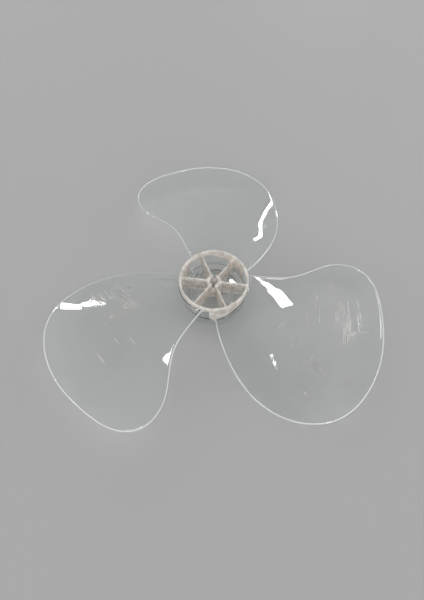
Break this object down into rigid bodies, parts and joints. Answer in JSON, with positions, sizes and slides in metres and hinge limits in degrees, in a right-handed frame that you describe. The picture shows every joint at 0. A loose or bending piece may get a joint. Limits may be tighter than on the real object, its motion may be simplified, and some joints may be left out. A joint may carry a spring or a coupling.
{
  "type": "fan impeller",
  "caption": "Clear plastic axial fan impeller with broad swept blades, an open ribbed hub and a slotted boss for a motor shaft.",
  "frame": {"origin": "centre of the shaft bore at the rear face of the boss, where the drive pin's slot opens", "axes": "+Z along the motor shaft towards the motor, so the open rear of the hub is uppermost and the front rests on the table; +Y towards the first blade's middle"},
  "size_m": [0.323, 0.3073, 0.0342],
  "materials": {
    "clear_blade": "polished clear styrene acrylonitrile, lightly scratched",
    "clear_hub": "polished clear styrene acrylonitrile",
    "matt_skin": "the same clear plastic with a matt, milky skin"
  },
  "bodies": {
    "root": {"blade_1": "clear_blade", "blade_2": "clear_blade", "blade_3": "clear_blade", "hub_rear_wall": "matt_skin", "hub_front_wall": "clear_hub", "hub_web": "clear_hub", "shaft_boss": "matt_skin", "rib_1": "matt_skin", "rib_2": "matt_skin", "rib_3": "matt_skin", "rib_4": "matt_skin", "rib_5": "matt_skin", "rib_6": "matt_skin", "spinner_collar": "clear_hub"}
  },
  "joints": []
}
